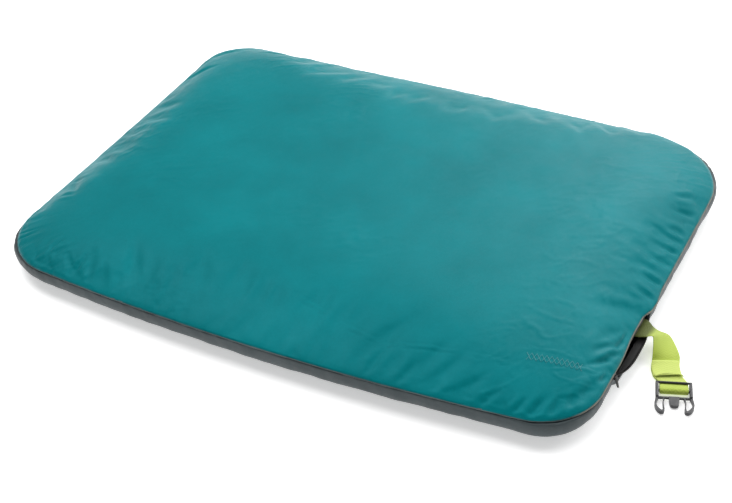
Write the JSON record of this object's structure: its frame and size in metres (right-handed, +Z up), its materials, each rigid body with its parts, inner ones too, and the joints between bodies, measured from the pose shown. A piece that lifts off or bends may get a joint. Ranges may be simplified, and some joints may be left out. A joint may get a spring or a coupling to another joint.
{
  "type": "camp pillow",
  "caption": "Padded rectangular camp pillow with corded seam, zipped end pocket, carry strap and side-release buckle.",
  "frame": {"origin": "centre of the flat face the pillow rests on", "axes": "+X along the length towards the zipped end, +Y across towards the back long side, +Z up"},
  "size_m": [0.7064, 0.4766, 0.0574],
  "materials": {
    "shell_top": "glossy polyester taffeta",
    "shell_bottom": "matt woven polyester",
    "piping": "corded seam",
    "filling": "loose polyester fibre",
    "lining": "thin plain weave",
    "zip_tape": "woven tape",
    "zip_teeth": "nylon coil",
    "zip_metal": "black enamel",
    "zip_pull": "moulded drop",
    "webbing": "woven webbing",
    "buckle": "satin acetal"
  },
  "bodies": {
    "pillow": {"top_panel": "shell_top", "top_wadding": "filling", "stuffing_core": "filling", "bottom_panel": "shell_bottom", "seam_piping": "piping", "pocket_lining": "lining", "zip_tape_upper": "zip_tape", "zip_tape_lower": "zip_tape", "zip_coil_upper": "zip_teeth", "zip_coil_lower": "zip_teeth", "zip_bottom_stop": "zip_metal", "zip_top_stop_upper": "zip_metal", "zip_top_stop_lower": "zip_metal", "strap_inner": "webbing", "strap_anchor_patch": "lining", "strap_anchor_bartack": "webbing", "female_tab": "webbing", "female_tab_bartack": "webbing"},
    "zip_slider": {"zip_slider_body": "zip_metal"},
    "zip_pull": {"zip_pull_tab": "zip_pull"},
    "strap": {"strap_outer": "webbing"},
    "buckle": {"buckle_male_frame": "buckle"},
    "prong_left": {"buckle_prong_left": "buckle"},
    "prong_right": {"buckle_prong_right": "buckle"},
    "female_buckle": {"female_buckle_body": "buckle"}
  },
  "joints": [
    {"name": "zip_slide", "type": "slide", "parent": "pillow", "child": "zip_slider", "axis": [0, 1, 0], "range_m": [0, 0.04], "deforming": ["zip_tape_upper", "zip_tape_lower", "zip_coil_upper", "zip_coil_lower"]},
    {"name": "zip_pull_swing", "type": "hinge", "parent": "zip_slider", "child": "zip_pull", "pos_m": [0.32018, -0.1462, 0.0262], "axis": [0, -1, 0], "range_deg": [-15, 140]},
    {"name": "strap_lift", "type": "hinge", "parent": "pillow", "child": "strap", "pos_m": [0.3179, -0.0692, 0.0222], "axis": [0, -1, 0], "range_deg": [0, 60]},
    {"name": "buckle_swing", "type": "hinge", "parent": "strap", "child": "buckle", "pos_m": [0.366, -0.1189, 0.004], "axis": [0.9455, 0.3256, 0], "range_deg": [0, 80]},
    {"name": "prong_left_flex", "type": "hinge", "parent": "buckle", "child": "prong_left", "pos_m": [0.359, -0.13083, 0.0034], "axis": [0, 0, 1], "range_deg": [0, 6], "stiffness_Nm_per_rad": 0.05},
    {"name": "prong_right_flex", "type": "hinge", "parent": "buckle", "child": "prong_right", "pos_m": [0.37886, -0.12399, 0.0034], "axis": [0, 0, -1], "range_deg": [0, 6], "stiffness_Nm_per_rad": 0.05},
    {"name": "female_buckle_swing", "type": "hinge", "parent": "pillow", "child": "female_buckle", "pos_m": [0.284, 0.07, 0.011], "axis": [-1, 0, 0], "range_deg": [0, 20]}
  ]
}
